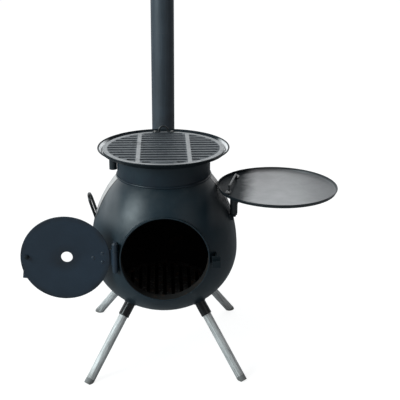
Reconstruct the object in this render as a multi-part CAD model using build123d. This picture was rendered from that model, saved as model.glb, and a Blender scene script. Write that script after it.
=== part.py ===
"""Portable steel chiminea with a round fire body, cooking neck, swing-out plate and flue.

Units are millimetres. The origin is on the ground below the body's centre, +Z is up,
the fire opening faces -Y and +X is to the right of a person who faces the opening.
The rest pose has the door folded right back and the side plate out to the right.
"""
from build123d import *
import os
from math import cos, radians, sin, sqrt, tan

# ---- Driving dimensions ----

# Fire body: a solid of revolution, half an ellipse below and a taller one above.
# Two pressed shells meet at an upright seam that is nearer the front.
BODY_RADIUS = 185.0
UPPER_HEIGHT = 246.0
LOWER_HEIGHT = 161.5
EQUATOR_Z = 284.0
SHELL_T = 3.0
SEAM_Y = -33.0
SEAM_GAP = 0.8
LAP_WIDTH = 10.0
LAP_T = 3.0
LAP_GAP = 0.05

# Cooking neck
NECK_RADIUS = 115.0
NECK_T = 3.0
NECK_TOP_Z = 530.0
WELD_RADIUS = 3.0

# Fire opening and its lining ring
OPENING_Z = EQUATOR_Z + 28.7
OPENING_RADIUS = 104.5
RING_T = 2.5
RING_FRONT_Y = -161.5
RING_DEPTH = 27.5

# Door, given in its closed place and then folded back
DOOR_RADIUS = 105.5
DOOR_T = 3.5
DOOR_GAP = 0.5
DOOR_SWING = 180.0
DOOR_EDGE = 0.8
VENT_RADIUS = 13.75
VENT_X = -4.0
VENT_RISE = 3.5

# Door hinge
HINGE_X = -118.0
HINGE_Y = -153.0
PIN_RADIUS = 3.0
RUNNING_GAP = 0.05
BARREL_RADIUS = 7.0
BARREL_LENGTH = 40.0
KNUCKLE_RADIUS = 6.5
UPPER_KNUCKLE = 18.0
LOWER_KNUCKLE = 13.0
KNUCKLE_GAP = 0.5
LUG_HALF = 4.0
PIN_HEAD_RADIUS = 5.0
PIN_TAIL = 3.0
LEAF_T = 3.0
LEAF_REACH = 46.0
LEAF_BEND_X = 10.0
RIVET_HEAD_RADIUS = 5.5
RIVET_HEAD_HEIGHT = 2.5

# Door latch
LATCH_REACH = 90.0
LATCH_RISE = 5.0
LEVER_HANG = 7.0
LEVER_LENGTH = 54.0
LEVER_WIDTH = 13.0
LEVER_T = 4.0
LEVER_GAP = 0.4
THUMB_TAB = 14.0
BOLT_HEAD_RADIUS = 7.0
BOLT_TAIL = 7.0
NUT_RADIUS = 5.5
NUT_T = 5.0
KEEPER_X = 122.0
KEEPER_WIDTH = 20.0
KEEPER_T = 3.0
KEEPER_FLOOR = 13.0
KEEPER_BACK_RISE = 9.0

# Legs: straight tubes whose axes meet at one point above the body's centre
LEG_TILT = 41.1
LEG_HUB_Z = EQUATOR_Z + 22.0
LEG_RADIUS = 11.0
LEG_T = 1.6
LEG_STANDOFF = 3.5
SOCKET_RADIUS = 13.5
SOCKET_LENGTH = 36.0
SOCKET_ROOT = 12.0
SOCKET_GAP = 0.1
FOOT_T = 10.0
FOOT_SPIGOT = 18.0
PLUG_GAP = 0.05

# Carrying loops on the body's flanks
LOOP_FOOT_Z = EQUATOR_Z + 90.0
LOOP_TILT = 17.0
LOOP_LENGTH = 52.0
LOOP_WIDTH = 40.0
LOOP_ROD = 3.5
LOOP_ROOT = 8.0

# Drip tray and what sits in it
TRAY_RADIUS = 162.0
TRAY_FLOOR_RADIUS = 136.0
TRAY_HOLE_RADIUS = 92.0
TRAY_HOLE_LIP = 5.0
TRAY_DEPTH = 18.0
TRAY_BEAD = 1.8
LEDGE_RADIUS = 151.0
LEDGE_WIDTH = 9.0
LEDGE_HEIGHT = 8.0
LOCATOR_DEPTH = 12.0
LOCATOR_GAP = 0.5
SHEET_T = 2.0
GRILL_RADIUS = 149.5
GRILL_T = 5.0
GRILL_BORDER = 11.0
GRILL_BAR_X = 61.0
GRILL_BAR_WIDTH = 9.0
GRILL_PITCH = 20.6
GRILL_SLOT = 10.0
GRILL_ROWS = 13
PLAQUE_WIDTH = 58.0
PLAQUE_INSET = 12.0
PLAQUE_DEPTH = 9.0
LIFT_ROD = 2.5
LIFT_HALF = 11.5
LIFT_RISE = 4.5
LIFT_TAB_LENGTH = 20.0
LIFT_TAB_WIDTH = 8.0
LIFT_INSET = 8.0
TAB_T = 2.5
RIVET_RADIUS = 2.0

# Side plate
PLATE_RADIUS = 147.0
PLATE_FLOOR_RADIUS = 138.0
PLATE_DEPTH = 10.0
PLATE_BEAD = 1.5
PLATE_X = 277.0
PLATE_Y = -50.0
PLATE_FLOOR_Z = EQUATOR_Z + 166.7
HANDLE_X = -107.0
HANDLE_Y = 27.0
HANDLE_TURN = -14.5
HANDLE_LENGTH = 132.0
HANDLE_RISE = 12.0
HANDLE_ROD = 2.75
PAD_LENGTH = 24.0
PAD_WIDTH = 12.0
PEG_X = 171.5
PEG_Y = -50.0
PEG_RADIUS = 6.0
PEG_TOP_Z = EQUATOR_Z + 141.0
PEG_STEP = 4.0
GUSSET_REACH = 30.0
GUSSET_T = 4.0
TUBE_RADIUS = 9.5
TUBE_T = 2.0
PLATE_TUBE_LOW_Z = EQUATOR_Z + 105.0
TRAY_TUBE_X = -125.0
TRAY_TUBE_LENGTH = 41.0

# Flue
FLUE_RADIUS = 30.0
FLUE_T = 1.5
FLUE_Y = 205.0
FLUE_RISE = 25.0
FLUE_BEND = 48.0
FLUE_EXIT_Z = EQUATOR_Z + 82.0
FLUE_COLLAR_TOP_Z = 470.0
FLUE_ROOT = 24.0
FLANGE_WIDTH = 5.0
FLANGE_T = 5.0
SECTION_LENGTH = 325.0
SHOULDER = 3.0
SPIGOT_LENGTH = 40.0
SPIGOT_GAP = 0.2

# Fire grate
GRATE_RADIUS = 112.0
GRATE_T = 5.0
GRATE_Z = EQUATOR_Z - 100.0
GRATE_SLOT = 9.0
GRATE_PITCH = 21.0
GRATE_BORDER = 10.0
GRATE_LUG_HALF = 8.0
GRATE_LUG_REACH = 160.0

# ---- Values that follow from them ----

JUNCTION_Z = EQUATOR_Z + UPPER_HEIGHT * sqrt(1 - (NECK_RADIUS / BODY_RADIUS) ** 2)
DOOR_BACK_Y = RING_FRONT_Y - DOOR_GAP
DOOR_FRONT_Y = DOOR_BACK_Y - DOOR_T
LEAF_FRONT_Y = DOOR_FRONT_Y - LEAF_T
LEVER_BACK_Y = DOOR_FRONT_Y - LEVER_GAP
LEVER_FRONT_Y = LEVER_BACK_Y - LEVER_T
DOOR_HOLES = [(HINGE_X + 30, 11), (HINGE_X + 30, -11), (HINGE_X + 52, 0)]
GRILL_Z = NECK_TOP_Z + LEDGE_HEIGHT + SHEET_T / 2
GRILL_LOOP_Y = GRILL_RADIUS - LIFT_INSET
GRILL_TAB_X = (-21.5, 21.5)
LEG_CORNERS = {
    "front_left": (-1, -1),
    "front_right": (1, -1),
    "rear_left": (-1, 1),
    "rear_right": (1, 1),
}


def skin_radius(z):
    """Radius of the upper body's outer face at a height."""
    return BODY_RADIUS * sqrt(1 - ((z - EQUATOR_Z) / UPPER_HEIGHT) ** 2)


# ---- Shared shapes ----

def save(name, shape):
    """Write one sub-part."""
    export_step(shape, f"parts/{name}.step")


def rod(start, end, radius):
    """Solid round bar between two points."""
    start = Vector(start)
    along = Vector(end) - start
    return Plane(origin=start, z_dir=along) * Cylinder(
        radius, along.length, align=(Align.CENTER, Align.CENTER, Align.MIN)
    )


def tube(start, end, radius, wall):
    """Round tube between two points."""
    return rod(start, end, radius) - rod(start, end, radius - wall)


def block(x_span, y_span, z_span):
    """Box between three pairs of limits."""
    size = [high - low for low, high in (x_span, y_span, z_span)]
    centre = [(high + low) / 2 for low, high in (x_span, y_span, z_span)]
    return Pos(*centre) * Box(*size)


def body_solid(inset):
    """Everything inside the body's outer face moved in by inset."""
    radius = BODY_RADIUS - inset
    ball = Rot(0, 0, 90) * Sphere(radius)
    halves = []
    for height, z_span in ((UPPER_HEIGHT, (0, 2 * radius)), (LOWER_HEIGHT, (-2 * radius, 0))):
        half = ball & block((-radius, radius), (-radius, radius), z_span)
        halves.append(scale(half, by=(1, 1, (height - inset) / radius)))
    return Pos(0, 0, EQUATOR_Z) * (halves[0] + halves[1])


def revolved_sheet(points, thickness):
    """Bowl or pan swept round Z from the middle line of its sheet."""
    strip = trace(Polyline(*points), line_width=thickness)
    return revolve(Plane.XZ * strip, Axis.Z)


def swept_rod(path, radius):
    """Round bar bent along a path."""
    start = Plane(origin=path @ 0, z_dir=path % 0)
    return sweep(start * Circle(radius), path=path)


def dome_head(radius, height):
    """Low domed head that stands on z = 0."""
    sphere_radius = (radius ** 2 + height ** 2) / (2 * height)
    cap = Pos(0, 0, height - sphere_radius) * Sphere(sphere_radius)
    return cap & block((-radius, radius), (-radius, radius), (0, height))


BODY_OUTER = body_solid(0)
BODY_INNER = body_solid(SHELL_T)


# ---- Fire body ----

def flue_path():
    """Middle line of the flue: out of the body's back, then up."""
    rise = radians(FLUE_RISE)
    bend_y = FLUE_Y - FLUE_BEND * (1 - sin(rise))
    exit_y = skin_radius(FLUE_EXIT_Z)
    bend_z = FLUE_EXIT_Z + (bend_y - exit_y) * tan(rise)
    inner_y = exit_y - FLUE_ROOT
    inner_z = FLUE_EXIT_Z - FLUE_ROOT * tan(rise)
    straight = Line((0, inner_y, inner_z), (0, bend_y, bend_z))
    centre = Vector(0, bend_y - FLUE_BEND * sin(rise), bend_z + FLUE_BEND * cos(rise))
    half_way = (rise + radians(90)) / 2
    middle = centre + Vector(0, FLUE_BEND * sin(half_way), -FLUE_BEND * cos(half_way))
    top = centre + Vector(0, FLUE_BEND, 0)
    bend = ThreePointArc((0, bend_y, bend_z), middle, top)
    upright = Line(top, (0, FLUE_Y, FLUE_COLLAR_TOP_Z))
    return straight + bend + upright


FLUE_PATH = flue_path()
FLUE_SOLID = swept_rod(FLUE_PATH, FLUE_RADIUS)
FLUE_BORE = swept_rod(FLUE_PATH, FLUE_RADIUS - FLUE_T)


def body_shell():
    """Whole round shell, open at the neck, at the fire opening and at the flue."""
    above = block((-200, 200), (-200, 200), (JUNCTION_Z, JUNCTION_Z + 100))
    opening = rod((0, -250, OPENING_Z), (0, 0, OPENING_Z), OPENING_RADIUS + RING_T)
    return BODY_OUTER - BODY_INNER - above - opening - FLUE_SOLID


def front_shell(shell):
    """Half of the shell that carries the fire opening."""
    return shell & block((-250, 250), (-250, SEAM_Y - SEAM_GAP / 2), (0, 600))


def rear_shell(shell):
    """Rear half, with an inner lap that the front half fits over."""
    seam_back = SEAM_Y + SEAM_GAP / 2
    half = shell & block((-250, 250), (seam_back, 250), (0, 600))
    low_z = EQUATOR_Z - LOWER_HEIGHT
    reach = block((-200, 200), (SEAM_Y - LAP_WIDTH, SEAM_Y + LAP_WIDTH), (low_z, JUNCTION_Z))
    behind = block((-200, 200), (seam_back, SEAM_Y + LAP_WIDTH), (low_z, JUNCTION_Z))
    lap = (body_solid(SHELL_T + LAP_GAP) - body_solid(SHELL_T + LAP_T)) & reach
    root = (body_solid(SHELL_T / 2) - body_solid(SHELL_T + LAP_T / 2)) & behind
    return half + lap + root


def neck_collar():
    """Short wide tube on top of the body, with a weld bead round its foot."""
    wall = tube((0, 0, JUNCTION_Z), (0, 0, NECK_TOP_Z), NECK_RADIUS, NECK_T)
    bead = Pos(0, 0, JUNCTION_Z) * Torus(NECK_RADIUS + 0.5, WELD_RADIUS)
    inside = rod((0, 0, JUNCTION_Z - 50), (0, 0, NECK_TOP_Z), NECK_RADIUS - 1)
    return wall + (bead - BODY_OUTER - inside)


def opening_ring():
    """Flat-faced ring that lines the fire opening and stops the door."""
    front = (0, RING_FRONT_Y, OPENING_Z)
    back = (0, RING_FRONT_Y + RING_DEPTH, OPENING_Z)
    return tube(front, back, OPENING_RADIUS + RING_T, RING_T)


# ---- Door and hinge ----

def hinge_knuckles():
    """Two fixed knuckles on lugs that are welded to the body."""
    half = BARREL_LENGTH / 2 + KNUCKLE_GAP
    spans = (
        (OPENING_Z + half, OPENING_Z + half + UPPER_KNUCKLE),
        (OPENING_Z - half - LOWER_KNUCKLE, OPENING_Z - half),
    )
    knuckles = []
    for low, high in spans:
        lug = block((HINGE_X - LUG_HALF, HINGE_X + LUG_HALF), (HINGE_Y, -120), (low, high))
        drum = rod((HINGE_X, HINGE_Y, low), (HINGE_X, HINGE_Y, high), KNUCKLE_RADIUS)
        hole = rod((HINGE_X, HINGE_Y, low), (HINGE_X, HINGE_Y, high), PIN_RADIUS)
        knuckles.append(lug + drum - hole - BODY_OUTER)
    return Compound(children=knuckles)


def hinge_pin():
    """Domed pin held by the fixed knuckles."""
    half = BARREL_LENGTH / 2 + KNUCKLE_GAP
    low = OPENING_Z - half - LOWER_KNUCKLE - PIN_TAIL
    high = OPENING_Z + half + UPPER_KNUCKLE
    shank = rod((HINGE_X, HINGE_Y, low), (HINGE_X, HINGE_Y, high), PIN_RADIUS)
    head = Pos(HINGE_X, HINGE_Y, high) * dome_head(PIN_HEAD_RADIUS, 3.0)
    return shank + head


def folded_back(shape):
    """Swing a shape from the closed place to the rest pose."""
    return Pos(HINGE_X, HINGE_Y, 0) * Rot(0, 0, -DOOR_SWING) * Pos(-HINGE_X, -HINGE_Y, 0) * shape


def closed_point(x, y, z):
    """Point of the closed door, given from the middle of the opening."""
    return (x, y, OPENING_Z + z)


def door_drill(x, z, radius):
    """Cutter that passes right through the closed door."""
    return rod(closed_point(x, -200, z), closed_point(x, -100, z), radius)


def door_disc():
    """Flat round door with a vent hole and fastener holes."""
    disc = rod(closed_point(0, DOOR_FRONT_Y, 0), closed_point(0, DOOR_BACK_Y, 0), DOOR_RADIUS)
    disc = fillet(disc.edges().filter_by(GeomType.CIRCLE), DOOR_EDGE)
    disc -= door_drill(VENT_X, VENT_RISE, VENT_RADIUS)
    disc -= door_drill(LATCH_REACH, LATCH_RISE, PIN_RADIUS)
    for x, z in DOOR_HOLES:
        disc -= door_drill(x, z, PIN_RADIUS)
    return folded_back(disc)


def door_hinge_leaf():
    """Barrel round the pin with a cranked leaf that is riveted to the door's outer face."""
    half = BARREL_LENGTH / 2
    low = closed_point(HINGE_X, HINGE_Y, -half)
    high = closed_point(HINGE_X, HINGE_Y, half)
    barrel_y = HINGE_Y - BARREL_RADIUS + LEAF_T / 2
    face_y = DOOR_FRONT_Y - LEAF_T / 2
    crank = Polyline(
        (HINGE_X, barrel_y),
        (HINGE_X + 1.5, barrel_y),
        (HINGE_X + LEAF_BEND_X, face_y),
        (HINGE_X + LEAF_REACH, face_y),
    )
    strip = extrude(trace(crank, line_width=LEAF_T), BARREL_LENGTH)
    nose = rod(
        closed_point(HINGE_X + LEAF_REACH, LEAF_FRONT_Y, 0),
        closed_point(HINGE_X + LEAF_REACH, DOOR_FRONT_Y, 0),
        half,
    )
    leaf = Pos(0, 0, OPENING_Z - half) * strip + nose + rod(low, high, BARREL_RADIUS)
    leaf -= rod(low, high, PIN_RADIUS + RUNNING_GAP)
    for x, z in DOOR_HOLES:
        leaf -= door_drill(x, z, PIN_RADIUS)
    return folded_back(leaf)


def door_rivets():
    """Three rivets through the leaf and the door."""
    rivets = []
    for x, z in DOOR_HOLES:
        shank = rod(closed_point(x, LEAF_FRONT_Y, z), closed_point(x, DOOR_BACK_Y, z), PIN_RADIUS)
        outer_head = dome_head(RIVET_HEAD_RADIUS, RIVET_HEAD_HEIGHT)
        outer = Pos(x, LEAF_FRONT_Y, OPENING_Z + z) * Rot(90, 0, 0) * outer_head
        inner = Pos(x, DOOR_BACK_Y, OPENING_Z + z) * Rot(-90, 0, 0) * dome_head(4.5, 0.4)
        rivets.append(folded_back(shank + outer + inner))
    return Compound(children=rivets)


def latch_lever():
    """Flat lever that hangs from its bolt, with a thumb tab at the free end."""
    half = LEVER_WIDTH / 2
    thickness = (LEVER_FRONT_Y, LEVER_BACK_Y)
    arm = block((-half, half), thickness, (-LEVER_LENGTH, 0))
    eye = rod((0, LEVER_FRONT_Y, 0), (0, LEVER_BACK_Y, 0), half + 1)
    tab_y = (LEVER_FRONT_Y - THUMB_TAB, LEVER_BACK_Y)
    tab = block((-half, half), tab_y, (-LEVER_LENGTH - 3, -LEVER_LENGTH))
    tab = fillet(tab.edges().filter_by(Axis.Z).group_by(Axis.Y)[0], 4)
    lever = arm + eye + tab - rod((0, -200, 0), (0, -100, 0), PIN_RADIUS + RUNNING_GAP)
    hung = Rot(0, -LEVER_HANG, 0) * lever
    return folded_back(Pos(LATCH_REACH, 0, OPENING_Z + LATCH_RISE) * hung)


def latch_bolt():
    """Shoulder bolt that the lever turns on."""
    head_y = LEVER_FRONT_Y - 0.3
    start = closed_point(LATCH_REACH, head_y, LATCH_RISE)
    end = closed_point(LATCH_REACH, DOOR_BACK_Y + BOLT_TAIL, LATCH_RISE)
    head = Pos(*start) * Rot(90, 0, 0) * dome_head(BOLT_HEAD_RADIUS, 4.0)
    return folded_back(rod(start, end, PIN_RADIUS) + head)


def latch_nut():
    """Hexagon nut on the door's inner face."""
    hexagon = extrude(RegularPolygon(NUT_RADIUS, 6), NUT_T)
    seat = closed_point(LATCH_REACH, DOOR_BACK_Y, LATCH_RISE)
    placed = Pos(*seat) * Rot(-90, 0, 0) * hexagon
    return folded_back(placed - door_drill(LATCH_REACH, LATCH_RISE, PIN_RADIUS))


def latch_keeper():
    """Channel on the body, open at the top, that the lever drops into."""
    x_span = (KEEPER_X - KEEPER_WIDTH / 2, KEEPER_X + KEEPER_WIDTH / 2)
    front_y = LEVER_FRONT_Y - 2.0
    back_y = LEVER_BACK_Y + 2.0
    floor_z = OPENING_Z - KEEPER_FLOOR
    under_z = floor_z - KEEPER_T
    back_top = OPENING_Z + KEEPER_BACK_RISE
    lip = block(x_span, (front_y - KEEPER_T, front_y), (under_z, OPENING_Z))
    floor = block(x_span, (front_y - KEEPER_T, -100), (under_z, floor_z))
    back = block(x_span, (back_y, back_y + KEEPER_T), (under_z, back_top))
    stay = block((KEEPER_X - 2, KEEPER_X + 2), (back_y, -100), (under_z, back_top))
    ring_room = rod((0, -200, OPENING_Z), (0, -100, OPENING_Z), OPENING_RADIUS + RING_T)
    return lip + floor + back + stay - BODY_OUTER - ring_room


# ---- Legs ----

def leg_frame(corner):
    """Unit vector down one leg, from the point where the legs' axes meet."""
    x_sign, y_sign = LEG_CORNERS[corner]
    tilt = radians(LEG_TILT)
    spread = sin(tilt) / sqrt(2)
    return Vector(x_sign * spread, y_sign * spread, -cos(tilt))


def along_leg(corner, distance):
    """Point on one leg's axis."""
    return Vector(0, 0, LEG_HUB_Z) + leg_frame(corner) * distance


def body_reach():
    """Distance along a leg's axis from the meeting point to the body's skin."""
    tilt = radians(LEG_TILT)
    drop = LEG_HUB_Z - EQUATOR_Z
    square = (sin(tilt) / BODY_RADIUS) ** 2 + (cos(tilt) / LOWER_HEIGHT) ** 2
    linear = drop * cos(tilt) / LOWER_HEIGHT ** 2
    constant = (drop / LOWER_HEIGHT) ** 2 - 1
    return (linear + sqrt(linear ** 2 - square * constant)) / square


BODY_REACH = body_reach()
GROUND_REACH = LEG_HUB_Z / cos(radians(LEG_TILT))
LEG_END = GROUND_REACH - FOOT_T


def leg_socket(corner):
    """Short tube welded to the body that holds a leg."""
    start = along_leg(corner, BODY_REACH - SOCKET_ROOT)
    end = along_leg(corner, BODY_REACH + SOCKET_LENGTH)
    outer = rod(start, end, SOCKET_RADIUS)
    outer = fillet(outer.edges().filter_by(GeomType.CIRCLE), 1.0)
    bore = rod(start, end, LEG_RADIUS + SOCKET_GAP)
    return outer - bore - BODY_OUTER


def leg_tube(corner):
    """Straight leg tube."""
    start = along_leg(corner, BODY_REACH + LEG_STANDOFF)
    return tube(start, along_leg(corner, LEG_END), LEG_RADIUS, LEG_T)


def foot_plug(corner):
    """End plug with a flat cut where it meets the ground."""
    bore = LEG_RADIUS - LEG_T - PLUG_GAP
    cap = rod(along_leg(corner, LEG_END), along_leg(corner, GROUND_REACH + 4), LEG_RADIUS)
    spigot = rod(along_leg(corner, LEG_END - FOOT_SPIGOT), along_leg(corner, LEG_END + 1), bore)
    return (cap + spigot) & block((-400, 400), (-400, 400), (0, 200))


# ---- Carrying loops ----

def handle_loop(side):
    """U-bent rod that leans out from one flank of the body."""
    tilt = radians(LOOP_TILT)
    half = LOOP_WIDTH / 2
    straight = LOOP_LENGTH - half
    lean = Vector(side * sin(tilt), 0, cos(tilt))
    foot = Vector(side * skin_radius(LOOP_FOOT_Z), 0, LOOP_FOOT_Z)
    across = Vector(0, half, 0)
    low = foot - lean * LOOP_ROOT
    high = foot + lean * straight
    path = (
        Line(low - across, high - across)
        + ThreePointArc(high - across, high + lean * half, high + across)
        + Line(high + across, low + across)
    )
    return swept_rod(path, LOOP_ROD) - BODY_OUTER


# ---- Cooking top ----

def drip_tray():
    """Flared pan with a ledge for the grill and an upturned lip round its middle hole."""
    floor = SHEET_T / 2
    points = (
        (TRAY_HOLE_RADIUS, floor + TRAY_HOLE_LIP),
        (TRAY_HOLE_RADIUS, floor),
        (TRAY_FLOOR_RADIUS, floor),
        (LEDGE_RADIUS - LEDGE_WIDTH, LEDGE_HEIGHT),
        (LEDGE_RADIUS, LEDGE_HEIGHT),
        (TRAY_RADIUS - 1, TRAY_DEPTH - 1),
    )
    bead = Pos(0, 0, TRAY_DEPTH - TRAY_BEAD) * Torus(TRAY_RADIUS - TRAY_BEAD, TRAY_BEAD)
    return Pos(0, 0, NECK_TOP_Z) * (revolved_sheet(points, SHEET_T) + bead)


def tray_locating_ring():
    """Ring under the tray that drops inside the neck."""
    top = (0, 0, NECK_TOP_Z)
    low = (0, 0, NECK_TOP_Z - LOCATOR_DEPTH)
    return tube(low, top, NECK_RADIUS - NECK_T - LOCATOR_GAP, SHEET_T)


def tray_socket_tube():
    """Open tube under the tray's left side."""
    top = (TRAY_TUBE_X, 0, NECK_TOP_Z)
    low = (TRAY_TUBE_X, 0, NECK_TOP_Z - TRAY_TUBE_LENGTH)
    return tube(low, top, TUBE_RADIUS, TUBE_T)


def slot_cutter(x_low, x_high, y):
    """One straight grill slot with round ends."""
    length = x_high - x_low
    outline = SlotOverall(length, GRILL_SLOT)
    return Pos((x_low + x_high) / 2, y, GRILL_Z - 1) * extrude(outline, GRILL_T + 2)


def grill_slots():
    """Slots in three panels, with a plain land for the front plaque."""
    inner = GRILL_RADIUS - GRILL_BORDER
    bar_in = GRILL_BAR_X - GRILL_BAR_WIDTH / 2
    bar_out = GRILL_BAR_X + GRILL_BAR_WIDTH / 2
    cutters = []
    for row in range(GRILL_ROWS):
        y = (row - (GRILL_ROWS - 1) / 2) * GRILL_PITCH
        reach = sqrt(inner ** 2 - (abs(y) + GRILL_SLOT / 2) ** 2)
        middle_reach = min(bar_in, reach)
        if row == 0:
            cutters.append(slot_cutter(-middle_reach, -PLAQUE_WIDTH / 2, y))
            cutters.append(slot_cutter(PLAQUE_WIDTH / 2, middle_reach, y))
        else:
            cutters.append(slot_cutter(-middle_reach, middle_reach, y))
        if reach > bar_out + 2 * GRILL_SLOT:
            cutters.append(slot_cutter(-reach, -bar_out, y))
            cutters.append(slot_cutter(bar_out, reach, y))
    return cutters


def grill_plate():
    """Slotted round plate with a border, two cross bars and a blank plaque."""
    plate = rod((0, 0, GRILL_Z), (0, 0, GRILL_Z + GRILL_T), GRILL_RADIUS)
    plate = fillet(plate.edges().filter_by(GeomType.CIRCLE), 0.8)
    for cutter in grill_slots():
        plate -= cutter
    for x in GRILL_TAB_X:
        plate -= rod((x, GRILL_LOOP_Y, GRILL_Z), (x, GRILL_LOOP_Y, GRILL_Z + 10), RIVET_RADIUS)
    plaque_y = -(GRILL_ROWS - 1) / 2 * GRILL_PITCH
    plaque_z = GRILL_Z + GRILL_T
    plaque = extrude(SlotOverall(PLAQUE_WIDTH - PLAQUE_INSET, PLAQUE_DEPTH), 1.0)
    return plate + Pos(0, plaque_y, plaque_z) * plaque


def lifting_loop():
    """Arched rod with two flat feet that stand on the grill's back edge."""
    top = GRILL_Z + GRILL_T
    shoulder = top + LIFT_RISE
    path = (
        Line((-LIFT_HALF, GRILL_LOOP_Y, top + 1), (-LIFT_HALF, GRILL_LOOP_Y, shoulder))
        + ThreePointArc(
            (-LIFT_HALF, GRILL_LOOP_Y, shoulder),
            (0, GRILL_LOOP_Y, shoulder + LIFT_HALF),
            (LIFT_HALF, GRILL_LOOP_Y, shoulder),
        )
        + Line((LIFT_HALF, GRILL_LOOP_Y, shoulder), (LIFT_HALF, GRILL_LOOP_Y, top + 1))
    )
    loop = swept_rod(path, LIFT_ROD)
    for x in GRILL_TAB_X:
        side = 1 if x > 0 else -1
        foot = extrude(SlotOverall(LIFT_TAB_LENGTH, LIFT_TAB_WIDTH), TAB_T)
        tab = Pos(x - side * 3, GRILL_LOOP_Y, top) * foot
        tab -= rod((x, GRILL_LOOP_Y, top), (x, GRILL_LOOP_Y, top + 5), RIVET_RADIUS)
        loop += tab
    return loop


def grill_loop_rivets():
    """Two rivets that hold the lifting loop."""
    top = GRILL_Z + GRILL_T + TAB_T
    rivets = []
    for x in GRILL_TAB_X:
        shank = rod((x, GRILL_LOOP_Y, GRILL_Z), (x, GRILL_LOOP_Y, top), RIVET_RADIUS)
        rivets.append(shank + Pos(x, GRILL_LOOP_Y, top) * dome_head(3.8, 1.8))
    return Compound(children=rivets)


# ---- Side plate ----

PLATE_CENTRE = Vector(PLATE_X, PLATE_Y, PLATE_FLOOR_Z)


def side_plate():
    """Shallow round pan."""
    floor = SHEET_T / 2
    points = (
        (0, floor),
        (PLATE_FLOOR_RADIUS, floor),
        (PLATE_FLOOR_RADIUS + 5, floor + 1.5),
        (PLATE_RADIUS - 1, PLATE_DEPTH - 1),
    )
    bead = Pos(0, 0, PLATE_DEPTH - PLATE_BEAD) * Torus(PLATE_RADIUS - PLATE_BEAD, PLATE_BEAD)
    pan = revolved_sheet(points, SHEET_T) + bead
    for end in (-1, 1):
        y = end * HANDLE_LENGTH / 2
        pan -= handle_place() * rod((0, y, -1), (0, y, 4), RIVET_RADIUS)
    return Pos(*PLATE_CENTRE) * pan


def handle_place():
    """Where the handle stands on the plate: its own Y runs along the handle."""
    return Pos(HANDLE_X, HANDLE_Y, 0) * Rot(0, 0, HANDLE_TURN)


def side_plate_handle():
    """Staple-shaped rod with a flat pad at each end."""
    half = HANDLE_LENGTH / 2
    foot = half - PAD_LENGTH / 2
    shoulder = foot - 7
    path = FilletPolyline(
        (0, -foot, SHEET_T + 1),
        (0, -shoulder, SHEET_T + HANDLE_RISE),
        (0, shoulder, SHEET_T + HANDLE_RISE),
        (0, foot, SHEET_T + 1),
        radius=5,
    )
    handle = swept_rod(path, HANDLE_ROD) - block((-20, 20), (-80, 80), (-20, SHEET_T))
    for end in (-1, 1):
        outline = Rot(0, 0, 90) * extrude(SlotOverall(PAD_LENGTH, PAD_WIDTH), TAB_T)
        pad = Pos(0, end * (half - 4), SHEET_T) * outline
        pad -= rod((0, end * half, SHEET_T), (0, end * half, SHEET_T + 5), RIVET_RADIUS)
        handle += pad
    return Pos(*PLATE_CENTRE) * handle_place() * handle


def side_plate_rivets():
    """Two rivets that hold the handle's pads."""
    top = SHEET_T + TAB_T
    rivets = []
    for end in (-1, 1):
        y = end * HANDLE_LENGTH / 2
        rivet = rod((0, y, 0), (0, y, top), RIVET_RADIUS) + Pos(0, y, top) * dome_head(4.0, 2.0)
        rivets.append(Pos(*PLATE_CENTRE) * handle_place() * rivet)
    return Compound(children=rivets)


def side_plate_socket():
    """Tube under the plate that drops over the peg."""
    low = (PEG_X, PEG_Y, PLATE_TUBE_LOW_Z)
    top = (PEG_X, PEG_Y, PLATE_FLOOR_Z)
    bore_top = (PEG_X, PEG_Y, PEG_TOP_Z + 1)
    shell = rod(low, top, TUBE_RADIUS)
    return shell - rod(low, bore_top, PEG_RADIUS + RUNNING_GAP)


def side_plate_peg():
    """Upright peg on a gusset that is welded to the body's right shoulder."""
    rest_z = PLATE_TUBE_LOW_Z - 0.2
    low_z = rest_z - 9
    peg = rod((PEG_X, PEG_Y, low_z), (PEG_X, PEG_Y, PEG_TOP_Z), PEG_RADIUS)
    peg = chamfer(peg.edges().group_by(Axis.Z)[-1], 1.5)
    step = rod((PEG_X, PEG_Y, rest_z - PEG_STEP), (PEG_X, PEG_Y, rest_z), TUBE_RADIUS - 0.5)
    y_span = (PEG_Y - GUSSET_T / 2, PEG_Y + GUSSET_T / 2)
    gusset = block((PEG_X - GUSSET_REACH, PEG_X), y_span, (low_z - 10, rest_z - 1))
    return peg + step + gusset - BODY_OUTER


# ---- Flue ----

def flue_elbow():
    """Bent pipe welded into the back of the body."""
    pipe = FLUE_SOLID - FLUE_BORE
    return pipe - body_solid(SHELL_T + 6)


def flue_weld_flange():
    """Flat collar round the pipe where it leaves the body."""
    rise = radians(FLUE_RISE)
    axis = Vector(0, cos(rise), sin(rise))
    centre = Vector(0, skin_radius(FLUE_EXIT_Z), FLUE_EXIT_Z)
    ring = rod(centre - axis * 14, centre + axis * FLANGE_T, FLUE_RADIUS + FLANGE_WIDTH)
    return ring - BODY_OUTER - FLUE_SOLID


def chimney_section(index):
    """Straight pipe with a narrowed lower end that plugs into the pipe below."""
    base = FLUE_COLLAR_TOP_Z + index * SECTION_LENGTH
    top = base + SECTION_LENGTH
    spigot_radius = FLUE_RADIUS - FLUE_T - SPIGOT_GAP
    bore = spigot_radius - FLUE_T
    outer = rod((0, FLUE_Y, base), (0, FLUE_Y, top), FLUE_RADIUS)
    spigot = rod((0, FLUE_Y, base - SPIGOT_LENGTH), (0, FLUE_Y, base), spigot_radius)
    step_z = base + SHOULDER
    wide_bore = rod((0, FLUE_Y, step_z), (0, FLUE_Y, top), FLUE_RADIUS - FLUE_T)
    narrow_bore = rod((0, FLUE_Y, base - SPIGOT_LENGTH), (0, FLUE_Y, step_z), bore)
    return outer + spigot - wide_bore - narrow_bore


# ---- Inside the fire body ----

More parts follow.
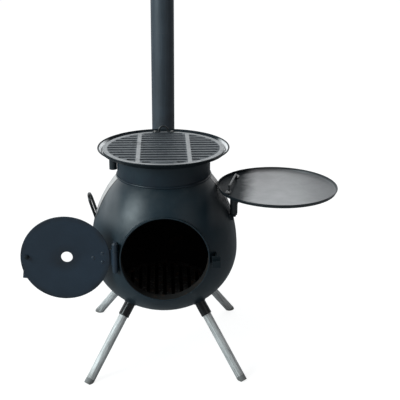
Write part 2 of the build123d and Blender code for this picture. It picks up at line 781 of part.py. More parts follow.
def fire_grate():
    """Slotted round plate that the fire lies on."""
    plate = rod((0, 0, GRATE_Z), (0, 0, GRATE_Z + GRATE_T), GRATE_RADIUS)
    rows = int(2 * GRATE_RADIUS / GRATE_PITCH) - 1
    for row in range(rows):
        y = (row - (rows - 1) / 2) * GRATE_PITCH
        reach = sqrt((GRATE_RADIUS - GRATE_BORDER) ** 2 - (abs(y) + GRATE_SLOT / 2) ** 2)
        slot = Rot(0, 0, 90) * SlotOverall(2 * reach, GRATE_SLOT)
        plate -= Pos(y, 0, GRATE_Z - 1) * extrude(slot, GRATE_T + 2)
    return plate


def grate_lugs():
    """Three shelves inside the body that the grate lies on."""
    lugs = []
    for angle in (90, 210, 330):
        half = GRATE_LUG_HALF
        shelf = block((GRATE_RADIUS - 8, GRATE_LUG_REACH), (-half, half), (GRATE_Z - 3, GRATE_Z))
        web = block((GRATE_RADIUS - 2, GRATE_LUG_REACH), (-2, 2), (GRATE_Z - 18, GRATE_Z - 3))
        lugs.append(Rot(0, 0, angle) * (shelf + web) & BODY_INNER)
    return Compound(children=lugs)


# ---- Build every sub-part ----

os.makedirs("parts", exist_ok=True)

shell = body_shell()
save("front_shell", front_shell(shell))
save("rear_shell", rear_shell(shell))
save("neck_collar", neck_collar())
save("opening_ring", opening_ring())
save("hinge_knuckles", hinge_knuckles())
save("hinge_pin", hinge_pin())
save("door_disc", door_disc())
save("door_hinge_leaf", door_hinge_leaf())
save("door_rivets", door_rivets())
save("latch_lever", latch_lever())
save("latch_bolt", latch_bolt())
save("latch_nut", latch_nut())
save("latch_keeper", latch_keeper())
for corner in LEG_CORNERS:
    save(f"leg_socket_{corner}", leg_socket(corner))
    save(f"leg_tube_{corner}", leg_tube(corner))
    save(f"foot_plug_{corner}", foot_plug(corner))
save("handle_loop_left", handle_loop(-1))
save("handle_loop_right", handle_loop(1))
save("drip_tray", drip_tray())
save("tray_locating_ring", tray_locating_ring())
save("tray_socket_tube", tray_socket_tube())
save("grill_plate", grill_plate())
save("grill_lifting_loop", lifting_loop())
save("grill_loop_rivets", grill_loop_rivets())
save("side_plate", side_plate())
save("side_plate_handle", side_plate_handle())
save("side_plate_rivets", side_plate_rivets())
save("side_plate_socket", side_plate_socket())
save("side_plate_peg", side_plate_peg())
save("flue_elbow", flue_elbow())
save("flue_weld_flange", flue_weld_flange())
for index, name in enumerate(("lower", "middle", "upper")):
    save(f"chimney_{name}", chimney_section(index))
save("fire_grate", fire_grate())
save("grate_lugs", grate_lugs())
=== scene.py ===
"""Looks for the steel chiminea: painted, plated and sooty steel, weld beads, studio and camera."""
import bpy
import math
import random
from mathutils import Matrix, Vector


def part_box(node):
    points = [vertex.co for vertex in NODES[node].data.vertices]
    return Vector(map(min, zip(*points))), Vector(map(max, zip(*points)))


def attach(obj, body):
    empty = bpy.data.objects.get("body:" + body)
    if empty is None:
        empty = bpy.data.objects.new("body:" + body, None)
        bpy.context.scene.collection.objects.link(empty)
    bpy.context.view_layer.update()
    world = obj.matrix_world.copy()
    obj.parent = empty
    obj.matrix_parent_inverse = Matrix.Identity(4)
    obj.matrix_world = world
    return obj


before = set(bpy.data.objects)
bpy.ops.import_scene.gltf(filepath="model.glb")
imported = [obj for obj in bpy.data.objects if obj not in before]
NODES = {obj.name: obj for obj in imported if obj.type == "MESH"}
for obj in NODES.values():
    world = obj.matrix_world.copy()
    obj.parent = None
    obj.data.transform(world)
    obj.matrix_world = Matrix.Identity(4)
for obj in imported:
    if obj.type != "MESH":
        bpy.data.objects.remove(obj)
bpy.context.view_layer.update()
random.seed(7)

# ---- Places and sizes, in metres ----

RING_LOW, RING_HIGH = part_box("opening_ring")
TRAY_TOP_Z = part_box("drip_tray")[1].z
PLATE_LOW, PLATE_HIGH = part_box("side_plate")
GRILL_TOP_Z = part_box("grill_plate")[1].z
BODY_RADIUS = 0.185
EQUATOR_Z = 0.284
LOWER_HEIGHT = 0.1615
UPPER_HEIGHT = 0.246
SEAM_Y = -0.033
OPENING_Z = (RING_LOW.z + RING_HIGH.z) / 2
NECK_TOP_Z = 0.530
LEG_HUB = Vector((0, 0, 0.306))
LEG_TILT = math.radians(41.1)
LEG_REACH = 0.188
SOCKET_RADIUS = 0.0137
LOOP_TILT = math.radians(17)
LOOP_FOOT_Z = EQUATOR_Z + 0.090
LOOP_HALF = 0.020
LOOP_ROD = 0.0035
FLUE_RADIUS = 0.030
FLUE_Y = 0.205
FLUE_RISE = math.radians(25)
FLUE_EXIT_Z = EQUATOR_Z + 0.082
FLUE_BASE_Z = 0.470
FLUE_FLANGE_LIP = 0.005
FLUE_FLANGE_RISE = 0.0052
FLUE_PIPE_GAP = 0.0006
GUSSET_X = 0.16
GUSSET_Y = -0.050
GUSSET_HALF = 0.0022
GUSSET_LOW_Z = EQUATOR_Z + 0.087
GUSSET_HIGH_Z = EQUATOR_Z + 0.103
HINGE_X = -0.118
HINGE_SEARCH_Y = -0.14
HINGE_LUG_HALF = 0.0043
HINGE_LUG_SPANS = (("low", -0.034, -0.021), ("high", 0.021, 0.032))
GRILL_BAR_X = 0.061
CORNERS = {"front_left": (-1, -1), "front_right": (1, -1), "rear_left": (-1, 1), "rear_right": (1, 1)}

# ---- Camera: about 1.1 m above the ground and 1.9 m in front of the chiminea ----

CAMERA_PLACE = Vector((-0.00306, -1.93883, 1.10434))
CAMERA_YAW = math.radians(-2.76)
CAMERA_PITCH = math.radians(19.745)
CAMERA_ROLL = math.radians(0.385)
LENS_MM = 73.69
SENSOR_MM = 36.0
CAMERA_SHIFT_Y = -0.0025


def add_camera():
    """Camera that looks down on the fire body."""
    data = bpy.data.cameras.new("camera")
    data.sensor_width = SENSOR_MM
    data.lens = LENS_MM
    data.shift_y = CAMERA_SHIFT_Y
    cam = bpy.data.objects.new("camera", data)
    bpy.context.scene.collection.objects.link(cam)
    level = Vector((math.cos(CAMERA_YAW), math.sin(CAMERA_YAW), 0))
    forward = Vector((
        -math.sin(CAMERA_YAW) * math.cos(CAMERA_PITCH),
        math.cos(CAMERA_YAW) * math.cos(CAMERA_PITCH),
        -math.sin(CAMERA_PITCH),
    ))
    upward = level.cross(forward)
    side = level * math.cos(CAMERA_ROLL) + upward * math.sin(CAMERA_ROLL)
    top = upward * math.cos(CAMERA_ROLL) - level * math.sin(CAMERA_ROLL)
    turn = Matrix((side, top, -forward)).transposed()
    cam.matrix_world = Matrix.Translation(CAMERA_PLACE) @ turn.to_4x4()
    bpy.context.scene.camera = cam


# ---- Node-tree helpers ----

class Tree:
    """Short way to write a node tree."""

    def __init__(self, tree):
        self.tree = tree
        tree.nodes.clear()

    def node(self, kind, **settings):
        """Add a node, and set its properties by name."""
        made = self.tree.nodes.new(kind)
        for key, value in settings.items():
            setattr(made, key, value)
        return made

    def put(self, value, socket):
        """Join an output to an input, or set the input's value."""
        if isinstance(value, bpy.types.NodeSocket):
            self.tree.links.new(value, socket)
        else:
            socket.default_value = value

    def math(self, operation, a, b=0.0, clamp=False):
        """One arithmetic step."""
        made = self.node("ShaderNodeMath", operation=operation, use_clamp=clamp)
        self.put(a, made.inputs[0])
        self.put(b, made.inputs[1])
        return made.outputs[0]

    def vector(self, operation, a, b=(0.0, 0.0, 0.0)):
        """One vector step; dot products and lengths come out as numbers."""
        made = self.node("ShaderNodeVectorMath", operation=operation)
        self.put(a, made.inputs[0])
        self.put(b, made.inputs[1])
        number = operation in ("DOT_PRODUCT", "LENGTH", "DISTANCE")
        return made.outputs["Value" if number else "Vector"]

    def parts(self, vector):
        """The x, y and z of a vector."""
        made = self.node("ShaderNodeSeparateXYZ")
        self.put(vector, made.inputs[0])
        return made.outputs[0], made.outputs[1], made.outputs[2]

    def noise(self, place, scale, detail=3.0, roughness=0.5, distortion=0.0):
        """Noise between 0 and 1."""
        made = self.node("ShaderNodeTexNoise")
        self.put(place, made.inputs["Vector"])
        self.put(scale, made.inputs["Scale"])
        self.put(detail, made.inputs["Detail"])
        self.put(roughness, made.inputs["Roughness"])
        self.put(distortion, made.inputs["Distortion"])
        return made.outputs[0]

    def ramp(self, value, low, high, to_low=0.0, to_high=1.0):
        """Map low..high smoothly to to_low..to_high, held at the ends."""
        made = self.node("ShaderNodeMapRange")
        made.interpolation_type = "SMOOTHSTEP"
        backwards = not isinstance(low, bpy.types.NodeSocket) and low > high
        if backwards:
            low, high, to_low, to_high = high, low, to_high, to_low
        self.put(value, made.inputs["Value"])
        self.put(low, made.inputs["From Min"])
        self.put(high, made.inputs["From Max"])
        self.put(to_low, made.inputs["To Min"])
        self.put(to_high, made.inputs["To Max"])
        return made.outputs["Result"]

    def mix(self, share, a, b):
        """Blend of two colours."""
        made = self.node("ShaderNodeMix", data_type="RGBA")
        self.put(share, made.inputs["Factor"])
        self.put(a, made.inputs[6])
        self.put(b, made.inputs[7])
        return made.outputs[2]

    def blend(self, share, a, b):
        """Blend of two numbers."""
        made = self.node("ShaderNodeMix", data_type="FLOAT")
        self.put(share, made.inputs["Factor"])
        self.put(a, made.inputs[2])
        self.put(b, made.inputs[3])
        return made.outputs[0]

    def times(self, a, b):
        """Product of two numbers."""
        return self.math("MULTIPLY", a, b)

    def normal(self):
        """The face's own normal."""
        return self.node("ShaderNodeNewGeometry").outputs["Normal"]

    def rounded(self, radius=0.0007):
        """Normal that softens sharp edges."""
        made = self.node("ShaderNodeBevel", samples=4)
        made.inputs["Radius"].default_value = radius
        return made.outputs[0]

    def edge_mask(self, radius=0.0012):
        """1 on sharp edges and 0 on open faces."""
        facing = self.vector("DOT_PRODUCT", self.rounded(radius), self.normal())
        return self.ramp(facing, 0.995, 0.85)

    def bump(self, height, strength, distance, normal=None):
        """Surface normal from a height."""
        made = self.node("ShaderNodeBump")
        self.put(strength, made.inputs["Strength"])
        self.put(distance, made.inputs["Distance"])
        self.put(height, made.inputs["Height"])
        if normal is not None:
            self.put(normal, made.inputs["Normal"])
        return made.outputs[0]


def colour(red, green, blue):
    """Linear colour with full alpha."""
    return (red, green, blue, 1.0)


def scaled(base, factor):
    """Red, green and blue made lighter or darker."""
    return [c * factor for c in base]


def shade(base, factor):
    """A lighter or darker colour with full alpha."""
    return colour(*scaled(base, factor))


class Surface:
    """What a finish is built from: colour, roughness, metal share and normal, changed step by step."""

    def __init__(self, name, base, roughness, metal=0.0, specular=0.5):
        self.made = bpy.data.materials.new(name)
        self.made.use_nodes = True
        self.tree = Tree(self.made.node_tree)
        self.shader = self.tree.node("ShaderNodeBsdfPrincipled")
        output = self.tree.node("ShaderNodeOutputMaterial")
        self.tree.put(self.shader.outputs[0], output.inputs["Surface"])
        self.place = self.tree.node("ShaderNodeTexCoord").outputs["Object"]
        self.skin = colour(*base)
        self.roughness = roughness
        self.metal = metal
        self.specular = specular
        self.bumped = self.tree.rounded()

    def tint(self, share, base):
        """Lay a colour over the skin."""
        self.skin = self.tree.mix(share, self.skin, colour(*base))

    def rough(self, share, value):
        """Pull the roughness towards a value."""
        self.roughness = self.tree.blend(share, self.roughness, value)

    def metallic(self, share, value):
        """Pull the metal share towards a value."""
        self.metal = self.tree.blend(share, self.metal, value)

    def relief(self, height, strength, distance):
        """Add relief to the normal."""
        self.bumped = self.tree.bump(height, strength, distance, self.bumped)

    def finish(self):
        """Wire everything into the shader."""
        self.tree.put(self.skin, self.shader.inputs["Base Color"])
        self.tree.put(self.roughness, self.shader.inputs["Roughness"])
        self.tree.put(self.metal, self.shader.inputs["Metallic"])
        self.tree.put(self.specular, self.shader.inputs["Specular IOR Level"])
        self.tree.put(self.bumped, self.shader.inputs["Normal"])
        return self.made


# ---- Finishes ----

def add_paint_detail(look, base, wear, dust, peel):
    """Orange peel, uneven colour, dust on top faces and rubbed edges."""
    tree, place = look.tree, look.place
    patches = tree.noise(place, 9.0, 4.0, 0.55)
    cloud = tree.noise(place, 38.0, 5.0, 0.6)
    fleck = tree.noise(place, 2600.0, 1.0, 0.5)
    look.tint(tree.ramp(patches, 0.35, 0.68, 0.0, 0.9), scaled(base, 1.35))
    look.tint(tree.ramp(fleck, 0.62, 0.75, 0.0, 0.15), scaled(base, 2.2))
    look.rough(tree.ramp(cloud, 0.3, 0.7, 0.0, 0.25), 0.6)
    upward = tree.vector("DOT_PRODUCT", tree.normal(), (0.0, 0.0, 1.0))
    dusty = tree.times(tree.ramp(upward, 0.35, 1.0), tree.ramp(cloud, 0.42, 0.72, 0.0, dust))
    look.tint(dusty, (0.22, 0.22, 0.21))
    look.rough(dusty, 0.8)
    chips = tree.noise(place, 320.0, 4.0, 0.7)
    rubbed = tree.times(tree.edge_mask(), tree.ramp(chips, 0.42, 0.62, 0.0, wear))
    look.tint(rubbed, (0.17, 0.175, 0.18))
    look.metallic(rubbed, 0.6)
    grain = tree.noise(place, 900.0, 2.0, 0.5)
    look.relief(grain, 0.10 * peel, 0.0006)
    look.relief(cloud, 0.02 * peel, 0.004)


def add_scratches(look, share, base):
    """Fine scuffs that run in a few directions."""
    tree = look.tree
    stretched = tree.vector("MULTIPLY", look.place, (1.0, 6.0, 9.0))
    lines = tree.noise(stretched, 55.0, 6.0, 0.75, 1.5)
    marks = tree.ramp(lines, 0.66, 0.72, 0.0, share)
    look.tint(marks, base)
    look.rough(marks, 0.55)


def powder_coat(name, base, roughness=0.33, wear=0.5, peel=1.0, dust=0.2, specular=0.55):
    """Satin powder coat on outside faces."""
    look = Surface(name, base, roughness, 0.0, specular)
    add_paint_detail(look, base, wear, dust, peel)
    return look.finish()


def fire_body_coat(name, base, dust=0.16, painted_sheen=0.0):
    """Powder coat outside with a painted sheen on the shoulders; inside, baked soot with rusty patches."""
    look = Surface(name, base, 0.33, 0.0, 0.42)
    tree, place = look.tree, look.place
    add_paint_detail(look, base, 0.35, dust, 1.0)
    add_scratches(look, 0.12, scaled(base, 3.0))
    x, y, z = tree.parts(place)
    # Rain runs: faint streaks that follow the fall of the wall.
    drawn = tree.vector("MULTIPLY", place, (1.0, 1.0, 0.12))
    runs = tree.noise(drawn, 120.0, 3.0, 0.6)
    look.tint(tree.ramp(runs, 0.6, 0.75, 0.0, 0.16), scaled(base, 2.0))
    # The top of the body, where it meets the collar, is painted darker.
    look.tint(tree.ramp(z, EQUATOR_Z + 0.16, EQUATOR_Z + 0.20, 0.0, 0.35), scaled(base, 0.45))
    # Painted highlight: the shoulders of the shell get a pale painted sheen, more on the left.
    sides = tree.ramp(tree.math("ABSOLUTE", x), 0.095, 0.120)
    lopsided = tree.ramp(x, 0.02, -0.02, 0.85, 1.0)
    shoulder_sheen = tree.times(tree.ramp(z, EQUATOR_Z + 0.075, EQUATOR_Z + 0.125), tree.times(sides, lopsided))
    sheen_noise = tree.noise(place, 20.0, 4.0, 0.55)
    shoulder_sheen = tree.times(shoulder_sheen, tree.ramp(sheen_noise, 0.25, 0.6, 0.8 * painted_sheen, painted_sheen))
    look.tint(shoulder_sheen, (0.70, 0.66, 0.64))
    # A thin black line is painted along the seam between the two shells.
    near = tree.math("ABSOLUTE", tree.math("SUBTRACT", y, SEAM_Y))
    look.tint(tree.ramp(near, 0.0042, 0.0022, 0.0, 0.92), (0.003, 0.003, 0.004))
    outward = tree.vector("SUBTRACT", place, (0.0, 0.0, EQUATOR_Z))
    facing = tree.vector("DOT_PRODUCT", outward, tree.normal())
    inside = tree.ramp(facing, 0.01, -0.01)
    rust = tree.noise(place, 46.0, 6.0, 0.65)
    rusty = tree.ramp(rust, 0.52, 0.72, 0.0, 0.6)
    soot = tree.mix(rusty, colour(0.008, 0.0075, 0.007), colour(0.06, 0.026, 0.012))
    look.skin = tree.mix(inside, look.skin, soot)
    look.rough(inside, 0.92)
    look.relief(rust, tree.times(inside, 0.5), 0.004)
    return look.finish()


def neck_coat(name, base):
    """Darker paint that fire has tinted, with soot inside the collar."""
    look = Surface(name, base, 0.36, 0.0, 0.4)
    tree, place = look.tree, look.place
    add_paint_detail(look, base, 0.4, 0.1, 1.0)
    z = tree.parts(place)[2]
    smear = tree.noise(tree.vector("MULTIPLY", place, (1.0, 1.0, 0.35)), 30.0, 5.0, 0.6)
    lower = tree.ramp(z, NECK_TOP_Z - 0.005, NECK_TOP_Z - 0.045)
    bruise = tree.times(lower, tree.ramp(smear, 0.35, 0.7, 0.1, 0.7))
    look.tint(bruise, (0.010, 0.014, 0.024))
    flat = tree.vector("MULTIPLY", place, (1.0, 1.0, 0.0))
    facing = tree.vector("DOT_PRODUCT", flat, tree.normal())
    inside = tree.ramp(facing, 0.01, -0.01)
    look.tint(inside, (0.009, 0.008, 0.0075))
    look.rough(inside, 0.9)
    return look.finish()


def door_coat(name, base):
    """Smooth paint with a brown smoke halo round the vent and the rim."""
    look = Surface(name, base, 0.36, 0.0, 0.5)
    tree, place = look.tree, look.place
    add_paint_detail(look, base, 0.6, 0.08, 0.7)
    add_scratches(look, 0.16, scaled(base, 2.4))
    low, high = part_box("door_disc")
    centre = (low + high) / 2
    away = tree.vector("MULTIPLY", tree.vector("SUBTRACT", place, tuple(centre)), (1.0, 0.0, 1.0))
    reach = tree.vector("LENGTH", away)
    smoke = tree.noise(place, 26.0, 5.0, 0.6)
    halo = tree.times(tree.ramp(reach, 0.045, 0.012), tree.ramp(smoke, 0.3, 0.7, 0.15, 0.6))
    look.tint(halo, (0.012, 0.011, 0.011))
    rim = tree.times(tree.ramp(reach, 0.090, 0.104), tree.ramp(smoke, 0.35, 0.65, 0.1, 0.6))
    look.tint(rim, (0.014, 0.015, 0.017))
    look.rough(tree.math("ADD", halo, rim), 0.62)
    return look.finish()


def gloss_black(name):
    """Dipped black enamel with dust in the corners."""
    base = (0.008, 0.009, 0.010)
    look = Surface(name, base, 0.16, 0.0, 0.6)
    add_paint_detail(look, base, 0.45, 0.2, 0.4)
    return look.finish()


def open_side(look, centre):
    """1 on a pan's open inner faces and 0 on its outside; also the offset from its axis."""
    tree = look.tree
    out = tree.vector("MULTIPLY", tree.vector("SUBTRACT", look.place, centre), (1.0, 1.0, 0.0))
    axis_side = tree.vector("DOT_PRODUCT", tree.vector("NORMALIZE", out), tree.normal())
    upward = tree.vector("DOT_PRODUCT", tree.normal(), (0.0, 0.0, 1.0))
    return tree.ramp(tree.math("SUBTRACT", upward, axis_side), 0.1, 0.35), out


def tray_enamel(name, dark):
    """Black enamel tray with a painted bright reflection on the flared wall at its two sides."""
    look = Surface(name, dark, 0.34, 0.0, 0.05)
    tree, place = look.tree, look.place
    add_paint_detail(look, dark, 0.5, 0.1, 0.7)
    inner, out = open_side(look, (0.0, 0.0, 0.0))
    x = tree.parts(out)[0]
    reach = tree.vector("LENGTH", out)
    sideways = tree.math("DIVIDE", tree.math("ABSOLUTE", x), reach)
    stain = tree.noise(place, 34.0, 5.0, 0.6)
    # Painted reflection: the inner flared wall is painted near-white and partly metallic at its left and
    # right sides, below the rim.
    side_reflection = tree.times(tree.ramp(sideways, 0.86, 0.97), tree.ramp(stain, 0.2, 0.5, 0.7, 1.0))
    height = tree.parts(place)[2]
    below_rim = tree.ramp(height, TRAY_TOP_Z - 0.0012, TRAY_TOP_Z - 0.0032)
    side_reflection = tree.times(tree.times(side_reflection, inner), below_rim)
    look.tint(side_reflection, (0.95, 0.96, 0.96))
    look.metallic(side_reflection, 0.75)
    look.rough(side_reflection, 0.34)
    return look.finish()


def plate_enamel(name, dark, light, centre):
    """Serving plate: black outside and rim; the satin floor carries a painted grey reflection with stains
    and brush marks, dark towards the handle and dimmer to the right.
    """
    look = Surface(name, dark, 0.30, 0.0, 0.5)
    tree, place = look.tree, look.place
    add_paint_detail(look, dark, 0.5, 0.1, 0.7)
    inner, out = open_side(look, centre)
    x, y, _ = tree.parts(out)
    height = tree.parts(place)[2]
    floor_face = tree.times(inner, tree.ramp(height, PLATE_HIGH.z - 0.0015, PLATE_HIGH.z - 0.0070))
    stain = tree.noise(place, 22.0, 6.0, 0.62, 0.6)
    drift = tree.math("ADD", x, tree.times(tree.math("SUBTRACT", stain, 0.5), 0.03))
    lean = tree.math("SUBTRACT", drift, tree.times(y, 0.15))
    # Painted reflection: the floor's light grey stands in for the bright backdrop's reflection and goes
    # dark towards the handle, where the specular level is also turned down.
    painted_reflection = tree.ramp(lean, -0.092, -0.048)
    look.specular = tree.blend(painted_reflection, 0.02, 0.45)
    # The painted reflection also dims towards the right.
    reflection_dimming = tree.ramp(x, 0.01, 0.13, 1.0, 0.38)
    stained_reflection_grey = tree.mix(tree.ramp(stain, 0.30, 0.72), shade(light, 0.90), shade(light, 1.08))
    brushed = tree.noise(tree.vector("MULTIPLY", place, (1.0, 5.0, 1.0)), 60.0, 5.0, 0.7, 0.8)
    stained_reflection_grey = tree.mix(tree.ramp(brushed, 0.50, 0.75, 0.0, 0.30), stained_reflection_grey, shade(light, 0.75))
    share = tree.times(floor_face, tree.times(painted_reflection, reflection_dimming))
    look.skin = tree.mix(share, look.skin, stained_reflection_grey)
    look.metallic(share, 0.25)
    look.rough(tree.times(inner, painted_reflection), 0.46)
    reach = tree.vector("LENGTH", out)
    rings = tree.math("SINE", tree.math("MULTIPLY", reach, 5200.0))
    look.relief(rings, tree.times(inner, 0.04), 0.0003)
    return look.finish()


def cast_iron_grill(name):
    """Seasoned cast iron: pale rubbed border and bars, darker slats, painted shade on the slot walls and
    underside, patches of black burnt-on grease.
    """
    look = Surface(name, (0.070, 0.080, 0.092), 0.50, 0.15, 0.45)
    tree, place = look.tree, look.place
    x, _, z = tree.parts(place)
    blot = tree.noise(place, 60.0, 6.0, 0.65)
    look.tint(tree.ramp(blot, 0.35, 0.7, 0.0, 0.6), (0.120, 0.134, 0.148))
    radius = tree.vector("LENGTH", tree.vector("MULTIPLY", place, (1.0, 1.0, 0.0)))
    border = tree.ramp(radius, 0.1378, 0.1390)
    off_bar = tree.math("SUBTRACT", tree.math("ABSOLUTE", x), GRILL_BAR_X)
    bar = tree.ramp(tree.math("ABSOLUTE", off_bar), 0.0056, 0.0042)
    rubbed = tree.math("MAXIMUM", border, bar)
    upward = tree.ramp(tree.vector("DOT_PRODUCT", tree.normal(), (0.0, 0.0, 1.0)), 0.3, 0.8)
    rubbed = tree.times(tree.times(rubbed, upward), tree.ramp(blot, 0.2, 0.6, 0.65, 1.0))
    look.tint(rubbed, (0.34, 0.345, 0.35))
    look.rough(rubbed, 0.40)
    # Painted shade: every face below the top of the grill, the slot walls and the underside, is painted
    # near-black.
    slot_shade = tree.ramp(z, GRILL_TOP_Z - 0.0015, GRILL_TOP_Z - 0.0045)
    look.tint(tree.times(slot_shade, 0.8), (0.018, 0.017, 0.016))
    grease = tree.ramp(tree.noise(place, 24.0, 5.0, 0.7, 1.2), 0.56, 0.72, 0.0, 0.55)
    look.tint(grease, (0.030, 0.031, 0.032))
    look.rough(grease, 0.7)
    edge = tree.times(tree.edge_mask(), tree.ramp(blot, 0.3, 0.6, 0.2, 0.8))
    look.tint(edge, (0.20, 0.21, 0.215))
    sand = tree.noise(place, 1400.0, 4.0, 0.65)
    look.relief(sand, 0.28, 0.0006)
    look.relief(blot, 0.12, 0.0015)
    return look.finish()


def zinc_tube(name, axis):
    """Dull galvanised tube with drawn streaks along its axis and white bloom."""
    look = Surface(name, (0.82, 0.82, 0.81), 0.46, 0.20, 0.5)
    tree, place = look.tree, look.place
    along = tree.vector("DOT_PRODUCT", place, tuple(axis))
    scaled = tree.node("ShaderNodeVectorMath", operation="SCALE")
    scaled.inputs[0].default_value = tuple(axis)
    tree.put(tree.times(along, 0.94), scaled.inputs["Scale"])
    drawn = tree.vector("SUBTRACT", place, scaled.outputs[0])
    streak = tree.noise(drawn, 420.0, 4.0, 0.65)
    look.tint(tree.ramp(streak, 0.42, 0.64, 0.0, 0.75), (0.30, 0.30, 0.295))
    look.tint(tree.ramp(streak, 0.60, 0.70, 0.0, 0.6), (0.88, 0.88, 0.87))
    spangle = tree.node("ShaderNodeTexVoronoi")
    tree.put(place, spangle.inputs["Vector"])
    spangle.inputs["Scale"].default_value = 210.0
    look.rough(tree.ramp(spangle.outputs["Distance"], 0.0, 0.6, 0.0, 0.5), 0.62)
    bloom = tree.ramp(tree.noise(place, 70.0, 5.0, 0.65), 0.56, 0.72, 0.0, 0.6)
    look.tint(bloom, (0.84, 0.845, 0.84))
    look.metallic(bloom, 0.2)
    look.rough(bloom, 0.7)
    z = tree.parts(place)[2]
    grime = tree.times(tree.ramp(z, 0.045, 0.012), tree.ramp(streak, 0.3, 0.7, 0.1, 0.5))
    look.tint(grime, (0.10, 0.085, 0.07))
    look.rough(grime, 0.8)
    look.relief(streak, 0.10, 0.0005)
    return look.finish()


def chimney_coat(name, base):
    """Matt heat-proof paint on rolled pipe: long streaks, heat bloom at the bottom and rubbed joints."""
    look = Surface(name, base, 0.44, 0.0, 0.5)
    tree, place = look.tree, look.place
    add_paint_detail(look, base, 0.6, 0.08, 0.8)
    drawn = tree.vector("MULTIPLY", place, (1.0, 1.0, 0.05))
    streak = tree.noise(drawn, 260.0, 4.0, 0.6)
    look.tint(tree.ramp(streak, 0.45, 0.7, 0.0, 0.30), scaled(base, 2.0))
    x, y, z = tree.parts(place)
    mottle = tree.noise(place, 40.0, 5.0, 0.6)
    heat = tree.times(tree.ramp(z, 0.75, 0.42), tree.ramp(mottle, 0.35, 0.65, 0.1, 0.55))
    look.tint(heat, (0.042, 0.036, 0.036))
    look.rough(heat, 0.62)
    # The rolled pipe is closed by one upright lock seam at the back.
    middle = tree.ramp(tree.math("ABSOLUTE", x), 0.0024, 0.0010)
    seam = tree.times(middle, tree.ramp(y, FLUE_Y, FLUE_Y + 0.02))
    look.tint(tree.times(seam, 0.5), scaled(base, 0.4))
    look.relief(seam, 0.4, 0.0010)
    out = tree.vector("MULTIPLY", tree.vector("SUBTRACT", place, (0.0, FLUE_Y, 0.0)), (1.0, 1.0, 0.0))
    facing = tree.vector("DOT_PRODUCT", out, tree.normal())
    inside = tree.times(tree.ramp(facing, 0.003, -0.003), tree.ramp(z, FLUE_BASE_Z, FLUE_BASE_Z + 0.01))
    look.tint(inside, (0.008, 0.0075, 0.007))
    look.rough(inside, 0.9)
    return look.finish()


def sooty_steel(name):
    """Burnt bare steel: soot, ash and rust."""
    look = Surface(name, (0.020, 0.019, 0.018), 0.8, 0.2, 0.4)
    tree, place = look.tree, look.place
    rust = tree.noise(place, 55.0, 6.0, 0.66)
    look.tint(tree.ramp(rust, 0.50, 0.68, 0.0, 0.8), (0.085, 0.036, 0.016))
    ash = tree.noise(place, 150.0, 5.0, 0.7)
    upward = tree.ramp(tree.vector("DOT_PRODUCT", tree.normal(), (0.0, 0.0, 1.0)), 0.4, 0.9)
    look.tint(tree.times(upward, tree.ramp(ash, 0.5, 0.7, 0.0, 0.6)), (0.26, 0.25, 0.235))
    look.tint(tree.times(tree.edge_mask(), 0.5), (0.12, 0.075, 0.05))
    look.relief(rust, 0.5, 0.002)
    return look.finish()


def rubber(name):
    """Grey moulded rubber, scuffed and dusty towards the ground."""
    look = Surface(name, (0.26, 0.26, 0.255), 0.66, 0.0, 0.35)
    tree, place = look.tree, look.place
    z = tree.parts(place)[2]
    scuff = tree.noise(place, 240.0, 5.0, 0.7)
    look.tint(tree.ramp(scuff, 0.52, 0.72, 0.0, 0.5), (0.15, 0.148, 0.142))
    dirt = tree.times(tree.ramp(z, 0.010, 0.0), tree.ramp(scuff, 0.3, 0.6))
    look.tint(tree.times(dirt, 0.6), (0.16, 0.14, 0.115))
    look.relief(scuff, 0.25, 0.0008)
    return look.finish()


def bright_steel(name, base, roughness):
    """Turned and plated steel with fine lines, tarnish and dark spots."""
    look = Surface(name, base, roughness, 0.9, 0.5)
    tree, place = look.tree, look.place
    lines = tree.noise(tree.vector("MULTIPLY", place, (1.0, 5.0, 1.0)), 520.0, 4.0, 0.7)
    look.tint(tree.ramp(lines, 0.4, 0.7, 0.0, 0.5), scaled(base, 0.55))
    tarnish = tree.ramp(tree.noise(place, 130.0, 5.0, 0.65), 0.5, 0.7, 0.0, 0.6)
    look.tint(tarnish, (0.10, 0.095, 0.09))
    look.rough(tarnish, 0.6)
    look.tint(tree.times(tree.edge_mask(), 0.6), [min(1.0, c * 1.5) for c in base])
    look.relief(lines, 0.12, 0.0004)
    return look.finish()


# ---- Weld beads ----

SOCKET_WELD = 0.0019
LOOP_WELD = 0.0014
FLUE_BODY_WELD = 0.0020
FLUE_PIPE_WELD = 0.0018
UPRIGHT_WELD = 0.0013
BEAD_SIDES = 10
RIM_STEPS = 44
LOOP_STEPS = 20
FLUE_STEPS = 80
UPRIGHT_STEPS = 14
HALVINGS = 30
RIM_SEARCH = 0.06
UPRIGHT_SEARCH = 0.08
LOOP_SEARCH = (0.03, 0.02)

def skin_level(point):
    """Below 1 inside the body's outer skin and above 1 outside it."""
    rise = point.z - EQUATOR_Z
    height = UPPER_HEIGHT if rise > 0 else LOWER_HEIGHT
    return (point.x ** 2 + point.y ** 2) / BODY_RADIUS ** 2 + (rise / height) ** 2


def skin_normal(point):
    """Outward direction of the body's skin."""
    rise = point.z - EQUATOR_Z
    height = UPPER_HEIGHT if rise > 0 else LOWER_HEIGHT
    return Vector((point.x / BODY_RADIUS ** 2, point.y / BODY_RADIUS ** 2, rise / height ** 2)).normalized()


def skin_hit(outside, inside):
    """Where the line between an outer and an inner point crosses the skin."""
    for _ in range(HALVINGS):
        middle = (outside + inside) / 2
        if skin_level(middle) > 1:
            outside = middle
        else:
            inside = middle
    return outside


